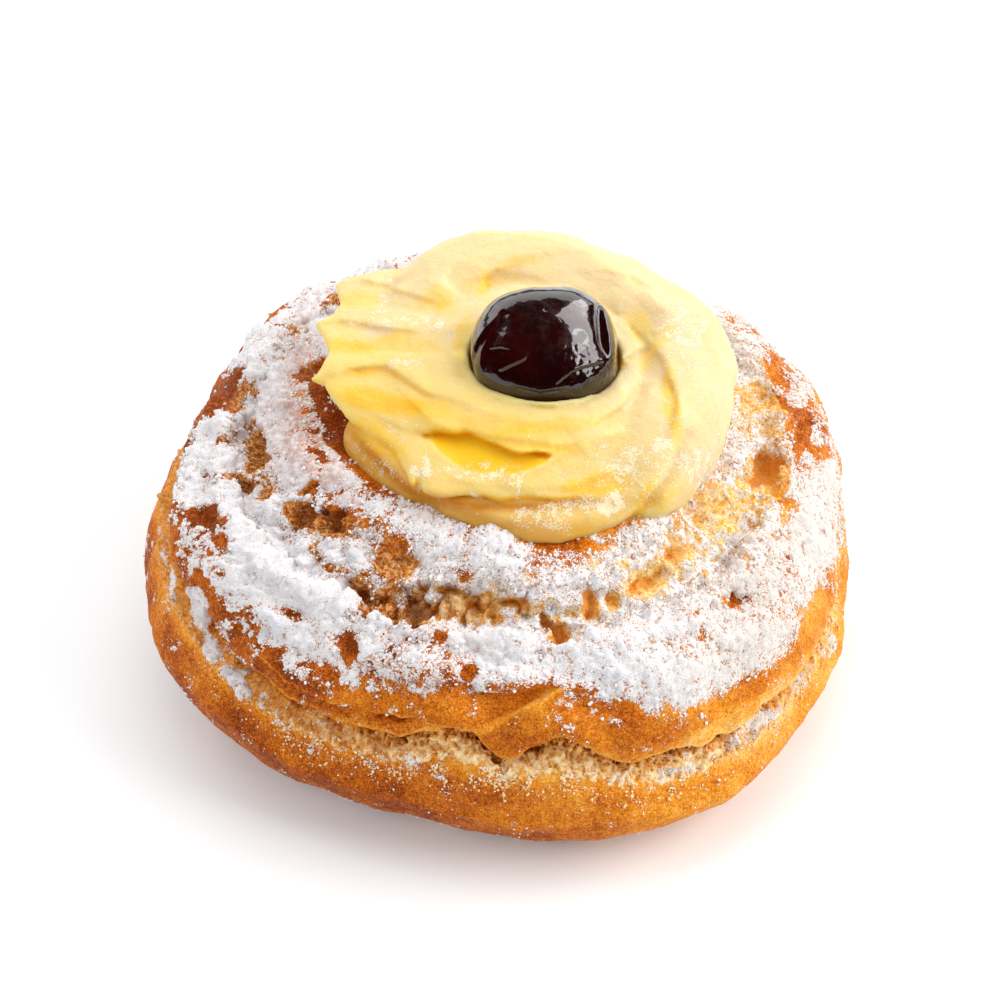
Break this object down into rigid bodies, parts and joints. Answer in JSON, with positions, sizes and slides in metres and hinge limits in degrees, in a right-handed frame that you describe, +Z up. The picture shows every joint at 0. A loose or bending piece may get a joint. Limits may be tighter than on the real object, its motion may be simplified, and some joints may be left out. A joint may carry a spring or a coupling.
{
  "type": "filled choux pastry",
  "caption": "Baked choux ring, piped in stacked coils, filled with a piped swirl of pastry cream, topped with a dark candied cherry and dusted with powdered sugar",
  "frame": {"origin": "middle of the footprint, on the plane it rests on", "axes": "+Z up; -Y is the side shown nearest to the viewer, +X is on the viewer's right"},
  "size_m": [0.0948, 0.0958, 0.0548],
  "materials": {
    "choux_crust": "golden-brown baked choux crust, matt and finely pored, paler in its tears",
    "pastry_cream": "smooth pale yellow cream with a soft sheen",
    "candied_cherry": "near-black maroon, wet with syrup and very glossy"
  },
  "bodies": {
    "root": {"pastry": "choux_crust", "cream": "pastry_cream", "cherry": "candied_cherry"}
  },
  "joints": []
}
